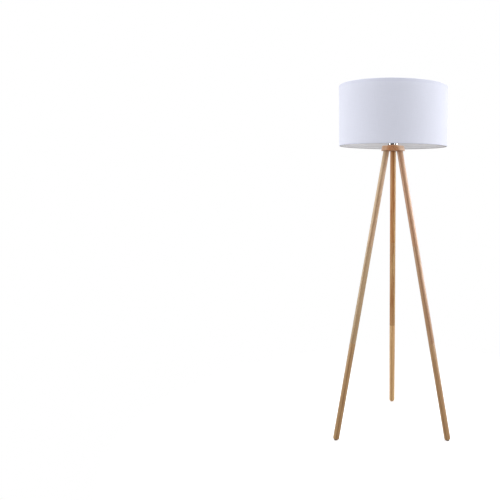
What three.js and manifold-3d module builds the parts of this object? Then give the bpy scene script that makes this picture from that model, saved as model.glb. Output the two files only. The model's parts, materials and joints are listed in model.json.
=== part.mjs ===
// Tripod floor lamp: a round wooden hub on three wooden legs, each screwed together from three turned
// sections, a lampholder in a metal cup on the hub, and a fabric drum shade on a dropped spider.
// Millimetres, +Z up. The floor is z = 0. The lamp is built about its own vertical axis, and the whole
// group is then moved so that the origin is the centre of the footprint of its bounding box.

import * as THREE from 'three';
import { mergeVertices } from 'three/addons/utils/BufferGeometryUtils.js';
import Module from 'manifold-3d';

const solids = await Module();
solids.setup();

// ---- driving dimensions ----

const GAP = 0.3;                       // clearance between pieces that touch on the real lamp

const SHADE_RADIUS = 225;
const SHADE_HEIGHT = 244;
const SHADE_BOTTOM = 1210;             // height of the shade's lower edge above the floor
const FABRIC = 0.8;                    // thickness of the cover
const LINER = 0.6;                     // thickness of the plastic lining
const LINER_INSET = 1.4;               // the lining stops this far short of each edge of the cover
const WIRE_RADIUS = 2;                 // wire of the top and bottom rings
const HEM_DEPTH = 12;                  // how far the cover is turned in over each ring
const SLIT_WIDTH = 6;                  // slit in the upper hem round each spider arm
const SHADE_SIDES = 48;
const WIRE_SIDES = 6;

const HUB_TOP = SHADE_BOTTOM + 3;
const HUB_THICKNESS = 21;
const HUB_BOTTOM = HUB_TOP - HUB_THICKNESS;
const HUB_TOP_RADIUS = 45.5;
const HUB_BOTTOM_RADIUS = 49.5;
const HUB_EDGE_ROUND = 2.2;            // rounding of the upper edge
const HUB_EDGE_BREAK = 0.7;            // broken lower edge
const HUB_BORE_RADIUS = 5.4;
const HUB_RECESS_RADIUS = 12.4;        // recess for the nut and the bush under the hub
const HUB_RECESS_DEPTH = 13;
const HUB_SIDES = 36;

const LEG_RADIUS = 12.5;
const LEG_HUB_CIRCLE = 32;             // circle of the leg axes at the underside of the hub
const LEG_FLOOR_CIRCLE = 267;          // circle of the leg axes on the floor
const LEG_AZIMUTHS = { left: 210, right: 330, back: 90 };
const LEG_SECTIONS = ['upper', 'middle', 'lower'];
const LEG_SIDES = 16;
const LEG_EDGE = 1;                    // broken edge at each seam
const FOOT_ROUND = 5.5;                // rounding at the foot of each leg
const SOCKET_DEPTH = 5;                // how far a leg sits in the hub
const SOCKET_RADIUS = 13;

const STUD_RADIUS = 3.9;               // M8 studs between the sections
const STUD_HALF = 22;
const STUD_EDGE = 0.7;
const STUD_HUB_LENGTH = 11;            // length of the hub's studs above the top of the leg
const STUD_BORE_RADIUS = 4.4;
const INSERT_RADIUS = 5.6;
const INSERT_BORE_RADIUS = 4.5;
const INSERT_HOLE_RADIUS = 6.1;
const INSERT_LENGTH = 16;
const INSERT_HUB_LENGTH = 11;
const SMALL_SIDES = 10;

const PAD_RADIUS = 6.5;
const PAD_THICKNESS = 3;               // on the leg's axis; the underside is cut level with the floor

const NIPPLE_RADIUS = 5;               // M10 hollow nipple
const NIPPLE_BORE_RADIUS = 3.5;
const NIPPLE_SIDES = 16;
const NIPPLE_INSET = 2.3;              // how far it stops above the underside of the hub
const NIPPLE_ABOVE = 12;
const WASHER_RADIUS = 11.5;
const WASHER_THICKNESS = 1.5;
const NUT_RADIUS = 8.4;                // across the corners
const NUT_HEIGHT = 5;
const BUSH_RADIUS = 8;
const BUSH_INSET = 0.5;                // how far it stops above the underside of the hub
const BUSH_SMOOTH = 1.5;               // its broken edges

const CUP_RADIUS = 21.9;
const CUP_FOOT_RADIUS = 21.1;          // the lowest part tapers in to this
const CUP_TAPER = 10;
const CUP_WALL = 1.2;
const CUP_HEIGHT = 46;
const CUP_SIDES = 28;
const HOLDER_RADIUS = 19.4;            // outer thread of the lampholder
const HOLDER_SKIRT_RADIUS = 19;
const HOLDER_BOTTOM = 1.8;
const HOLDER_SPLIT = 16;               // height of the joint between its base and its body
const HOLDER_TOP = 58;
const HOLDER_SIDES = 24;
const CORE_RADIUS = 16.8;
const CORE_BOTTOM = 16.6;
const CORE_TOP = 22.3;
const SHELL_RADIUS = 13.9;
const SHELL_WALL = 0.5;
const SHELL_BOTTOM = 27;
const SHELL_TOP = 48.5;
const SCREW_CIRCLE = 11;
const SCREW_SHANK_RADIUS = 1.5;
const SCREW_HOLE_RADIUS = 1.9;
const SCREW_HEAD_RADIUS = 2.7;

const FITTER_INNER_RADIUS = 20.1;
const FITTER_OUTER_RADIUS = 27.5;
const FITTER_THICKNESS = 1.6;
const RING_BORE_RADIUS = 19.9;
const RING_RADIUS = 24.2;
const RING_HEIGHT = 8;
const ARM_RADIUS = 1.75;
const ARM_AZIMUTHS = [30, 150, 270];
const ARM_STEPS = 16;
const ARM_SIDES = 8;

const BULB_CAP_RADIUS = 13;            // E27 screw cap
const BULB_CAP_WALL = 0.5;
const BULB_CAP_HEIGHT = 21;
const BULB_TIP_BOTTOM = 26.3;
const BULB_RADIUS = 30;
const BULB_HEIGHT = 108;               // from the contact at the tip to the top of the globe
const BULB_GLASS = 1.4;
const BULB_SIDES = 20;

const ROUNDING_STEPS = { hub: 3, foot: 4, cup: 2, globe: 6 };

// ---- values worked out from them ----

const LEG_LEAN = Math.atan2(LEG_FLOOR_CIRCLE - LEG_HUB_CIRCLE, HUB_BOTTOM);
const LEG_LENGTH = Math.hypot(LEG_FLOOR_CIRCLE - LEG_HUB_CIRCLE, HUB_BOTTOM);
const SECTION_PITCH = LEG_LENGTH / LEG_SECTIONS.length;
const SHADE_TOP = SHADE_BOTTOM + SHADE_HEIGHT;
const FITTER_BOTTOM = HUB_TOP + CUP_HEIGHT + GAP;
const RING_BOTTOM = FITTER_BOTTOM + FITTER_THICKNESS + GAP;

// ---- materials ----

function finish(color, roughness, metalness = 0) {
  return () => new THREE.MeshStandardMaterial({ color, roughness, metalness });
}

const paleWood = finish(0xc7a680, 0.45);
const warmWood = finish(0xb08058, 0.42);
const honeyWood = finish(0xc69c6a, 0.42);
const linen = finish(0xf0f1f6, 0.95);
const lining = finish(0xe6e8e6, 0.6);
const whiteWire = finish(0xe9e9e6, 0.45);
const nickel = finish(0xd4d2ce, 0.14, 1);
const zinc = finish(0xb9bcc0, 0.35, 1);
const brass = finish(0xc8a24f, 0.3, 1);
const ceramic = finish(0xeeebe2, 0.4);
const whitePlastic = finish(0xf2f1ec, 0.4);
const blackPlastic = finish(0x1c1c1d, 0.45);
const opalGlass = finish(0xfbfaf5, 0.25);
const rubber = finish(0x4a4742, 0.85);

const WOOD_OF_SECTION = {
  left: { upper: warmWood, middle: paleWood, lower: honeyWood },
  right: { upper: warmWood, middle: honeyWood, lower: warmWood },
  back: { upper: honeyWood, middle: warmWood, lower: honeyWood },
};

// ---- geometry helpers ----

// Turns every triangle outward if the closed surface is inside out.
function facingOut(geometry) {
  const place = geometry.attributes.position;
  const index = geometry.index;
  const corners = [0, 1, 2].map(() => new THREE.Vector3());
  let volume = 0;
  for (let i = 0; i < index.count; i += 3) {
    corners.forEach((corner, k) => corner.fromBufferAttribute(place, index.getX(i + k)));
    volume += corners[0].dot(corners[1].cross(corners[2]));
  }
  if (volume < 0) {
    for (let i = 0; i < index.count; i += 3) {
      const second = index.getX(i + 1);
      index.setX(i + 1, index.getX(i + 2));
      index.setX(i + 2, second);
    }
  }
  return geometry;
}

// Leaves only positions, with the vertices that share a place merged.
function bare(geometry) {
  const copy = geometry.clone();
  copy.deleteAttribute('normal');
  copy.deleteAttribute('uv');
  return facingOut(mergeVertices(copy, 1e-4));
}

// A solid of revolution about Z. The profile is a list of [radius, height], starting and ending on the axis.
function turned(profile, sides) {
  const points = profile.map(([radius, height]) => new THREE.Vector2(radius, height));
  return bare(new THREE.LatheGeometry(points, sides).rotateX(Math.PI / 2));
}

// A ring about Z whose profile closes on itself.
function turnedRing(profile, sides) {
  return turned([...profile, profile[0]], sides);
}

// A cylinder about Z from one height to another.
function rod(radius, bottom, top, sides) {
  const geometry = new THREE.CylinderGeometry(radius, radius, top - bottom, sides).rotateX(Math.PI / 2);
  return bare(geometry.translate(0, 0, (top + bottom) / 2));
}

// Points on a quarter of a circle, from one angle to the other, in degrees.
function arc(centreRadius, centreHeight, radius, from, to, steps) {
  const points = [];
  for (let i = 0; i <= steps; i += 1) {
    const angle = THREE.MathUtils.degToRad(from + ((to - from) * i) / steps);
    points.push([centreRadius + radius * Math.cos(angle), centreHeight + radius * Math.sin(angle)]);
  }
  return points;
}

function toSolid(geometry) {
  return new solids.Manifold(new solids.Mesh({
    numProp: 3,
    vertProperties: new Float32Array(geometry.attributes.position.array),
    triVerts: new Uint32Array(geometry.index.array),
  }));
}

function fromSolid(solid) {
  const mesh = solid.getMesh();
  const geometry = new THREE.BufferGeometry();
  geometry.setAttribute('position', new THREE.BufferAttribute(mesh.vertProperties, 3));
  geometry.setIndex(new THREE.BufferAttribute(mesh.triVerts, 1));
  return geometry;
}

// Cuts a list of tools out of a blank.
function cut(blank, tools) {
  return fromSolid(tools.reduce((left, tool) => left.subtract(toSolid(bare(tool))), toSolid(blank)));
}

function piece(name, geometry, material) {
  const mesh = new THREE.Mesh(geometry, material());
  mesh.name = name;
  mesh.geometry.computeVertexNormals();
  return mesh;
}

function grouped(...pieces) {
  const group = new THREE.Group();
  group.add(...pieces);
  return group;
}

// ---- hub ----

// Position and tilt of one leg: its own -Z runs down the leg from the underside of the hub.
function legFrame(azimuth) {
  const outward = new THREE.Group();
  outward.rotation.z = THREE.MathUtils.degToRad(azimuth);
  const tilted = new THREE.Group();
  tilted.position.set(LEG_HUB_CIRCLE, 0, HUB_BOTTOM);
  tilted.rotation.y = -LEG_LEAN;
  outward.add(tilted);
  outward.updateMatrixWorld(true);
  return { outward, tilted };
}

function legSocketTools(azimuth) {
  const { tilted } = legFrame(azimuth);
  const socket = rod(SOCKET_RADIUS, -2 * SOCKET_DEPTH, SOCKET_DEPTH, LEG_SIDES);
  const insertHole = rod(INSERT_HOLE_RADIUS, 0, SOCKET_DEPTH + INSERT_HUB_LENGTH + 2 * GAP, LEG_SIDES);
  return [socket, insertHole].map((tool) => tool.applyMatrix4(tilted.matrixWorld));
}

function hub() {
  const sideSlope = 10;
  const centre = [HUB_TOP_RADIUS - HUB_EDGE_ROUND, HUB_TOP - HUB_EDGE_ROUND];
  const rounded = arc(...centre, HUB_EDGE_ROUND, sideSlope, 90, ROUNDING_STEPS.hub);
  const blank = turnedRing([
    [HUB_RECESS_RADIUS, HUB_BOTTOM],
    [HUB_BOTTOM_RADIUS - HUB_EDGE_BREAK, HUB_BOTTOM],
    [HUB_BOTTOM_RADIUS, HUB_BOTTOM + HUB_EDGE_BREAK],
    ...rounded,
    [HUB_BORE_RADIUS, HUB_TOP],
    [HUB_BORE_RADIUS, HUB_BOTTOM + HUB_RECESS_DEPTH],
    [HUB_RECESS_RADIUS, HUB_BOTTOM + HUB_RECESS_DEPTH],
  ], HUB_SIDES);
  const sockets = Object.values(LEG_AZIMUTHS).flatMap(legSocketTools);
  return piece('hub', cut(blank, sockets), warmWood);
}

// ---- legs ----

// One section, turned about Z, between two heights. Both ends are bored for a stud. The lower two sections
// have a wider hole at the top for the threaded insert, and the lowest has a rounded foot and no lower bore.
function legSection(section, bottom, top) {
  const isUpper = section === 'upper';
  const isLower = section === 'lower';
  const topHole = isUpper
    ? [[STUD_BORE_RADIUS, top], [STUD_BORE_RADIUS, top - STUD_HALF - 2 * GAP]]
    : [
      [INSERT_HOLE_RADIUS, top],
      [INSERT_HOLE_RADIUS, top - INSERT_LENGTH - 3 * GAP],
      [STUD_BORE_RADIUS, top - INSERT_LENGTH - 3 * GAP],
      [STUD_BORE_RADIUS, top - STUD_HALF - 2 * GAP],
    ];
  const footCentre = [LEG_RADIUS - FOOT_ROUND, bottom + FOOT_ROUND];
  const lowerEnd = isLower
    ? [[0, bottom], ...arc(...footCentre, FOOT_ROUND, -90, 0, ROUNDING_STEPS.foot)]
    : [
      [0, bottom + STUD_HALF + 2 * GAP],
      [STUD_BORE_RADIUS, bottom + STUD_HALF + 2 * GAP],
      [STUD_BORE_RADIUS, bottom],
      [LEG_RADIUS - LEG_EDGE, bottom],
      [LEG_RADIUS, bottom + LEG_EDGE],
    ];
  return turned([
    ...lowerEnd,
    [LEG_RADIUS, top - LEG_EDGE],
    [LEG_RADIUS - LEG_EDGE, top],
    ...topHole,
    [0, top - STUD_HALF - 2 * GAP],
  ], LEG_SIDES);
}

function stud(bottom, top) {
  return turned([
    [0, bottom],
    [STUD_RADIUS - STUD_EDGE, bottom],
    [STUD_RADIUS, bottom + STUD_EDGE],
    [STUD_RADIUS, top - STUD_EDGE],
    [STUD_RADIUS - STUD_EDGE, top],
    [0, top],
  ], SMALL_SIDES);
}

function threadedInsert(bottom, top) {
  return turnedRing([
    [INSERT_BORE_RADIUS, bottom],
    [INSERT_RADIUS, bottom],
    [INSERT_RADIUS, top],
    [INSERT_BORE_RADIUS, top],
  ], SMALL_SIDES);
}

// A short round pad whose underside is cut level with the floor.
function footPad() {
  const pad = rod(PAD_RADIUS, -LEG_LENGTH, -LEG_LENGTH + PAD_THICKNESS, LEG_SIDES);
  const place = pad.attributes.position;
  for (let i = 0; i < place.count; i += 1) {
    if (place.getZ(i) < -LEG_LENGTH + PAD_THICKNESS / 2) {
      place.setZ(i, -LEG_LENGTH - place.getX(i) * Math.tan(LEG_LEAN));
    }
  }
  return pad;
}

function leg(side, azimuth) {
  const { outward, tilted } = legFrame(azimuth);
  const legTop = SOCKET_DEPTH - GAP;
  const seams = [0, 1, 2, 3].map((count) => -count * SECTION_PITCH);
  const tops = [legTop, seams[1], seams[2]];
  const bottoms = [seams[1] + GAP, seams[2] + GAP, seams[3] + PAD_THICKNESS + GAP];
  LEG_SECTIONS.forEach((section, i) => {
    const wood = WOOD_OF_SECTION[side][section];
    tilted.add(piece(`leg_${side}_${section}`, legSection(section, bottoms[i], tops[i]), wood));
  });
  const hubInsertBottom = SOCKET_DEPTH + GAP;
  tilted.add(
    piece(`stud_${side}_hub`, stud(legTop - STUD_HALF, legTop + STUD_HUB_LENGTH), zinc),
    piece(`insert_${side}_hub`, threadedInsert(hubInsertBottom, hubInsertBottom + INSERT_HUB_LENGTH), zinc),
    piece(`foot_pad_${side}`, footPad(), rubber),
  );
  ['upper', 'lower'].forEach((level, i) => {
    const seam = seams[i + 1];
    const insertTop = seam - GAP;
    tilted.add(
      piece(`stud_${side}_${level}`, stud(seam - STUD_HALF, seam + STUD_HALF), zinc),
      piece(`insert_${side}_${level}`, threadedInsert(insertTop - INSERT_LENGTH, insertTop), zinc),
    );
  });
  return outward;
}

// ---- nipple and what it clamps ----

function nipple() {
  const bottom = HUB_BOTTOM + NIPPLE_INSET;
  const top = HUB_TOP + NIPPLE_ABOVE;
  return piece('nipple', turnedRing([
    [NIPPLE_BORE_RADIUS, bottom],
    [NIPPLE_RADIUS, bottom],
    [NIPPLE_RADIUS, top],
    [NIPPLE_BORE_RADIUS, top],
  ], NIPPLE_SIDES), zinc);
}

function nippleWasher() {
  const top = HUB_BOTTOM + HUB_RECESS_DEPTH - GAP;
  return piece('nipple_washer', turnedRing([
    [HUB_BORE_RADIUS, top - WASHER_THICKNESS],
    [WASHER_RADIUS, top - WASHER_THICKNESS],
    [WASHER_RADIUS, top],
    [HUB_BORE_RADIUS, top],
  ], LEG_SIDES), zinc);
}

function nippleNut() {
  const top = HUB_BOTTOM + HUB_RECESS_DEPTH - WASHER_THICKNESS - 2 * GAP;
  const blank = rod(NUT_RADIUS, top - NUT_HEIGHT, top, 6);
  const bore = rod(HUB_BORE_RADIUS, top - 2 * NUT_HEIGHT, top + NUT_HEIGHT, NIPPLE_SIDES);
  return piece('nipple_nut', cut(blank, [bore]), zinc);
}

// The bush on the end of the nipple lines the cord's way out. It stays inside the recess.
function cordBush() {
  const top = HUB_BOTTOM + HUB_RECESS_DEPTH - WASHER_THICKNESS - NUT_HEIGHT - 3 * GAP;
  const lip = HUB_BOTTOM + NIPPLE_INSET - GAP;
  const bottom = HUB_BOTTOM + BUSH_INSET;
  return piece('cord_bush', turnedRing([
    [NIPPLE_BORE_RADIUS + BUSH_SMOOTH, bottom],
    [BUSH_RADIUS - BUSH_SMOOTH, bottom],
    [BUSH_RADIUS, bottom + BUSH_SMOOTH],
    [BUSH_RADIUS, top],
    [HUB_BORE_RADIUS, top],
    [HUB_BORE_RADIUS, lip],
    [NIPPLE_BORE_RADIUS, lip],
    [NIPPLE_BORE_RADIUS, bottom + BUSH_SMOOTH],
  ], NIPPLE_SIDES), blackPlastic);
}

// ---- lampholder; heights below are above the top of the hub ----

function lampholderCup() {
  const bottom = GAP;
  const floor = bottom + CUP_WALL;
  const inner = CUP_RADIUS - CUP_WALL;
  const footInner = CUP_FOOT_RADIUS - CUP_WALL;
  return piece('lampholder_cup', turnedRing([
    [HUB_BORE_RADIUS, bottom],
    ...arc(footInner, floor, CUP_WALL, -90, 0, ROUNDING_STEPS.cup),
    [CUP_RADIUS, CUP_TAPER],
    [CUP_RADIUS, CUP_HEIGHT],
    [inner, CUP_HEIGHT],
    [inner, CUP_TAPER],
    [footInner, floor],
    [HUB_BORE_RADIUS, floor],
  ], CUP_SIDES), nickel);
}

function lampholderBase() {
  const wall = 3;
  const boss = 8.5;
  const bossTop = 11;
  const floor = 5.5;
  const edge = 1;
  const outer = HOLDER_SKIRT_RADIUS - 0.4;
  return piece('lampholder_base', turnedRing([
    [HUB_BORE_RADIUS, HOLDER_BOTTOM],
    [outer - edge, HOLDER_BOTTOM],
    [outer, HOLDER_BOTTOM + edge],
    [outer, HOLDER_SPLIT],
    [outer - wall, HOLDER_SPLIT],
    [outer - wall, floor],
    [boss, floor],
    [boss, bossTop],
    [HUB_BORE_RADIUS, bossTop],
  ], HOLDER_SIDES), whitePlastic);
}

function lampholderBody() {
  const mouth = 16.2;
  const shellBore = SHELL_RADIUS + 0.5;
  const coreBore = CORE_RADIUS + 0.4;
  const threadStart = 43;
  const edge = 1;
  const lip = CORE_TOP + 2.2;
  return piece('lampholder_body', turnedRing([
    [coreBore, HOLDER_SPLIT + GAP],
    [HOLDER_SKIRT_RADIUS, HOLDER_SPLIT + GAP],
    [HOLDER_SKIRT_RADIUS, threadStart - edge],
    [HOLDER_RADIUS, threadStart],
    [HOLDER_RADIUS, HOLDER_TOP - edge],
    [HOLDER_RADIUS - edge, HOLDER_TOP],
    [mouth, HOLDER_TOP],
    [mouth, SHELL_TOP + edge],
    [shellBore, SHELL_TOP + edge],
    [shellBore, lip + edge],
    [coreBore, lip],
  ], HOLDER_SIDES), whitePlastic);
}

function lampholderCore() {
  const blank = turned([
    [0, CORE_BOTTOM],
    [CORE_RADIUS, CORE_BOTTOM],
    [CORE_RADIUS, CORE_TOP],
    [0, CORE_TOP],
  ], HOLDER_SIDES);
  const clear = 1;
  const hole = rod(SCREW_HOLE_RADIUS, CORE_BOTTOM + clear, CORE_TOP + clear, SMALL_SIDES);
  const holes = [-1, 1].map((side) => hole.clone().translate(0, side * SCREW_CIRCLE, 0));
  return piece('lampholder_core', cut(blank, holes), ceramic);
}

function terminalScrew(name, side) {
  const shankBottom = CORE_BOTTOM + 1.4;
  const headBottom = CORE_TOP + GAP;
  const headTop = headBottom + 1.5;
  const edge = 0.5;
  const screw = turned([
    [0, shankBottom],
    [SCREW_SHANK_RADIUS, shankBottom],
    [SCREW_SHANK_RADIUS, headBottom],
    [SCREW_HEAD_RADIUS, headBottom],
    [SCREW_HEAD_RADIUS, headTop - edge],
    [SCREW_HEAD_RADIUS - edge, headTop],
    [0, headTop],
  ], SMALL_SIDES);
  return piece(name, screw.translate(0, side * SCREW_CIRCLE, 0), brass);
}

// A springy strip, bent up in the middle to meet the tip of the bulb.
function centreContact() {
  const thickness = 0.6;
  const width = 6;
  const foot = CORE_TOP + GAP;
  const crest = BULB_TIP_BOTTOM - GAP - thickness;
  const line = [[-10, foot], [-4.5, foot], [-1.5, crest], [3, crest], [5, crest - 1.2]];
  const outline = [...line, ...line.map(([x, z]) => [x, z + thickness]).reverse()];
  const shape = new THREE.Shape(outline.map(([x, z]) => new THREE.Vector2(x, z)));
  const strip = new THREE.ExtrudeGeometry(shape, { depth: width, bevelEnabled: false, steps: 1 });
  return piece('centre_contact', bare(strip.rotateX(Math.PI / 2).translate(0, width / 2, 0)), brass);
}

function threadedShell() {
  return piece('threaded_shell', turnedRing([
    [SHELL_RADIUS - SHELL_WALL, SHELL_BOTTOM],
    [SHELL_RADIUS, SHELL_BOTTOM],
    [SHELL_RADIUS, SHELL_TOP],
    [SHELL_RADIUS - SHELL_WALL, SHELL_TOP],
  ], HOLDER_SIDES), brass);
}

function lampholder() {
  const holder = grouped(
    lampholderCup(),
    lampholderBase(),
    lampholderBody(),
    lampholderCore(),
    terminalScrew('terminal_screw_live', 1),
    terminalScrew('terminal_screw_neutral', -1),
    centreContact(),
    threadedShell(),
  );
  holder.position.z = HUB_TOP;
  return holder;
}

function shadeRing() {
  const flange = 3;
  const neck = RING_RADIUS - 1.8;
  return piece('shade_ring', turnedRing([
    [RING_BORE_RADIUS, RING_BOTTOM],
    [RING_RADIUS, RING_BOTTOM],
    [RING_RADIUS, RING_BOTTOM + flange],
    [neck, RING_BOTTOM + flange + 1],
    [neck, RING_BOTTOM + RING_HEIGHT],
    [RING_BORE_RADIUS, RING_BOTTOM + RING_HEIGHT],
  ], HOLDER_SIDES), whitePlastic);
}

// ---- shade ----

const WIRE_CIRCLE = SHADE_RADIUS - FABRIC - LINER - 2 * GAP - WIRE_RADIUS;
const WIRE_INSET = FABRIC + GAP + WIRE_RADIUS;

// Half of the cover's profile, from the middle of the wall to the end of the hem, with heights measured
// inward from the edge: the cloth runs over the wire, round its inside and back to the lining.
function hemProfile() {
  const outside = SHADE_RADIUS;
  const bend = WIRE_CIRCLE - WIRE_RADIUS - GAP;
  const tuck = WIRE_CIRCLE + WIRE_RADIUS - FABRIC;
  const pastWire = 2 * WIRE_INSET;
  const corner = 0.7;
  const inside = bend - FABRIC;
  const outer = [[outside, corner], [outside - corner, 0], [inside + corner, 0], [inside, corner]];
  const tail = [[inside, pastWire], [tuck, pastWire + 3], [tuck, HEM_DEPTH]];
  const tailInner = [[tuck + FABRIC, HEM_DEPTH], [tuck + FABRIC, pastWire + 2.6], [bend, pastWire - 0.4]];
  const inner = [[bend, FABRIC], [outside - FABRIC, FABRIC]];
  return [...outer, ...tail, ...tailInner, ...inner];
}

function shadeCover() {
  const half = hemProfile();
  const top = half.map(([radius, inset]) => [radius, SHADE_TOP - inset]);
  const bottom = half.map(([radius, inset]) => [radius, SHADE_BOTTOM + inset]).reverse();
  const blank = turnedRing([...bottom, ...top], SHADE_SIDES);
  const slits = ARM_AZIMUTHS.map((azimuth) => {
    const length = 7;
    const slit = new THREE.BoxGeometry(length, SLIT_WIDTH, HEM_DEPTH);
    slit.translate(WIRE_CIRCLE - WIRE_RADIUS - length / 2 + 1, 0, SHADE_TOP - FABRIC - HEM_DEPTH / 2);
    return slit.rotateZ(THREE.MathUtils.degToRad(azimuth));
  });
  return piece('shade_cover', cut(blank, slits), linen);
}

function shadeLiner() {
  const outer = SHADE_RADIUS - FABRIC - GAP;
  const bottom = SHADE_BOTTOM + LINER_INSET;
  const top = SHADE_TOP - LINER_INSET;
  return piece('shade_liner', turnedRing([
    [outer - LINER, bottom],
    [outer, bottom],
    [outer, top],
    [outer - LINER, top],
  ], SHADE_SIDES), lining);
}

function wireRing(name, height) {
  const ring = new THREE.TorusGeometry(WIRE_CIRCLE, WIRE_RADIUS, WIRE_SIDES, SHADE_SIDES);
  return piece(name, bare(ring.translate(0, 0, height)), whiteWire);
}

function fitterRing() {
  const top = FITTER_BOTTOM + FITTER_THICKNESS;
  return piece('fitter_ring', turnedRing([
    [FITTER_INNER_RADIUS, FITTER_BOTTOM],
    [FITTER_OUTER_RADIUS, FITTER_BOTTOM],
    [FITTER_OUTER_RADIUS, top],
    [FITTER_INNER_RADIUS, top],
  ], CUP_SIDES), whiteWire);
}

// A wire that leaves the fitter ring level, climbs to the top of the shade and meets the wire ring level.
function spiderArm(name, azimuth) {
  const start = FITTER_OUTER_RADIUS + GAP;
  const end = WIRE_CIRCLE - WIRE_RADIUS - GAP;
  const low = FITTER_BOTTOM + FITTER_THICKNESS / 2;
  const high = SHADE_TOP - WIRE_INSET;
  const level = 7;
  const bend = 0.06;
  const foot = new THREE.Vector3(start + level, 0, low);
  const head = new THREE.Vector3(end - level, 0, high);
  const path = new THREE.CatmullRomCurve3([
    new THREE.Vector3(start, 0, low),
    foot,
    foot.clone().lerp(head, bend),
    foot.clone().lerp(head, 0.5),
    foot.clone().lerp(head, 1 - bend),
    head,
    new THREE.Vector3(end, 0, high),
  ], false, 'centripetal');
  const section = new THREE.Shape();
  for (let i = 0; i < ARM_SIDES; i += 1) {
    const angle = (2 * Math.PI * i) / ARM_SIDES;
    const corner = [ARM_RADIUS * Math.cos(angle), ARM_RADIUS * Math.sin(angle)];
    if (i === 0) section.moveTo(...corner);
    else section.lineTo(...corner);
  }
  const wire = new THREE.ExtrudeGeometry(section, { steps: ARM_STEPS, extrudePath: path });
  return piece(name, bare(wire.rotateZ(THREE.MathUtils.degToRad(azimuth))), whiteWire);
}

function shade() {
  return grouped(
    shadeCover(),
    shadeLiner(),
    wireRing('top_wire_ring', SHADE_TOP - WIRE_INSET),
    wireRing('bottom_wire_ring', SHADE_BOTTOM + WIRE_INSET),
    fitterRing(),
    ...ARM_AZIMUTHS.map((azimuth, i) => spiderArm(`spider_arm_${i + 1}`, azimuth)),
  );
}

// ---- bulb; heights below are above the top of the hub ----

const CONTACT_TOP = BULB_TIP_BOTTOM + 1.2;
const CAP_BOTTOM = BULB_TIP_BOTTOM + 3.2;
const CAP_TOP = CAP_BOTTOM + BULB_CAP_HEIGHT;
const GLOBE_BOTTOM = CAP_TOP + 32;

function bulbContact() {
  const radius = 4.6;
  const face = 2.4;
  const shoulder = BULB_TIP_BOTTOM + 0.8;
  return piece('bulb_contact', turned([
    [0, BULB_TIP_BOTTOM],
    [face, BULB_TIP_BOTTOM],
    [radius, shoulder],
    [radius, CONTACT_TOP],
    [0, CONTACT_TOP],
  ], SMALL_SIDES), zinc);
}

function bulbInsulator() {
  const bottom = CONTACT_TOP + GAP;
  const face = 5.6;
  const shoulder = 10.8;
  const inCap = BULB_CAP_RADIUS - BULB_CAP_WALL - GAP;
  return piece('bulb_insulator', turned([
    [0, bottom],
    [face, bottom],
    [shoulder, CAP_BOTTOM + 0.6],
    [inCap, CAP_BOTTOM + 2],
    [inCap, CAP_BOTTOM + 4],
    [0, CAP_BOTTOM + 4],
  ], LEG_SIDES), blackPlastic);
}

function bulbCap() {
  const inner = BULB_CAP_RADIUS - BULB_CAP_WALL;
  const turnIn = 0.9;
  const shoulder = CAP_BOTTOM + 1.4;
  const edge = CAP_BOTTOM + 0.1;
  return piece('bulb_cap', turnedRing([
    [inner - turnIn, edge],
    [BULB_CAP_RADIUS - turnIn, edge],
    [BULB_CAP_RADIUS, shoulder],
    [BULB_CAP_RADIUS, CAP_TOP],
    [inner, CAP_TOP],
    [inner, shoulder],
  ], HOLDER_SIDES), zinc);
}

function bulbBody() {
  const neck = 12.1;
  const neckBottom = CAP_TOP - 8;
  const flange = 14.2;
  const shoulders = [[14.6, HOLDER_TOP + 2], [17, HOLDER_TOP + 8], [22, HOLDER_TOP + 18]];
  const rim = 24.5;
  return piece('bulb_body', turned([
    [0, neckBottom],
    [neck, neckBottom],
    [neck, CAP_TOP + GAP],
    [flange, CAP_TOP + GAP],
    ...shoulders,
    [rim, GLOBE_BOTTOM - GAP],
    [0, GLOBE_BOTTOM - GAP],
  ], BULB_SIDES), whitePlastic);
}

// A thin opal globe, open at the bottom where it meets the body.
function bulbGlobe() {
  const top = BULB_TIP_BOTTOM + BULB_HEIGHT;
  const centre = top - BULB_RADIUS;
  const start = THREE.MathUtils.radToDeg(Math.asin((GLOBE_BOTTOM - centre) / BULB_RADIUS));
  const inside = BULB_RADIUS - BULB_GLASS;
  const startInside = THREE.MathUtils.radToDeg(Math.asin((GLOBE_BOTTOM - centre) / inside));
  const outer = arc(0, centre, BULB_RADIUS, 90, start, ROUNDING_STEPS.globe);
  const inner = arc(0, centre, inside, startInside, 90, ROUNDING_STEPS.globe);
  return piece('bulb_globe', turned([...outer, ...inner], BULB_SIDES), opalGlass);
}

function bulb() {
  const lamp = grouped(bulbContact(), bulbInsulator(), bulbCap(), bulbBody(), bulbGlobe());
  lamp.position.z = HUB_TOP;
  return lamp;
}

// ---- assembly ----

const lamp = grouped(
  hub(),
  ...Object.entries(LEG_AZIMUTHS).map(([side, azimuth]) => leg(side, azimuth)),
  nipple(),
  nippleWasher(),
  nippleNut(),
  cordBush(),
  lampholder(),
  shadeRing(),
  shade(),
  bulb(),
);

const size = new THREE.Box3().setFromObject(lamp, true);
lamp.position.set(-(size.min.x + size.max.x) / 2, -(size.min.y + size.max.y) / 2, -size.min.z);

export default lamp;
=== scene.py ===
"""The looks of the tripod floor lamp: turned wooden legs and hub, polished cup, lampholder, bulb and shade.

Lengths are metres in the frame's own axes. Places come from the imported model's nodes; the sizes of details
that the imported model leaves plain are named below.
"""

import json
import math

import bpy
from mathutils import Matrix, Vector


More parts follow.
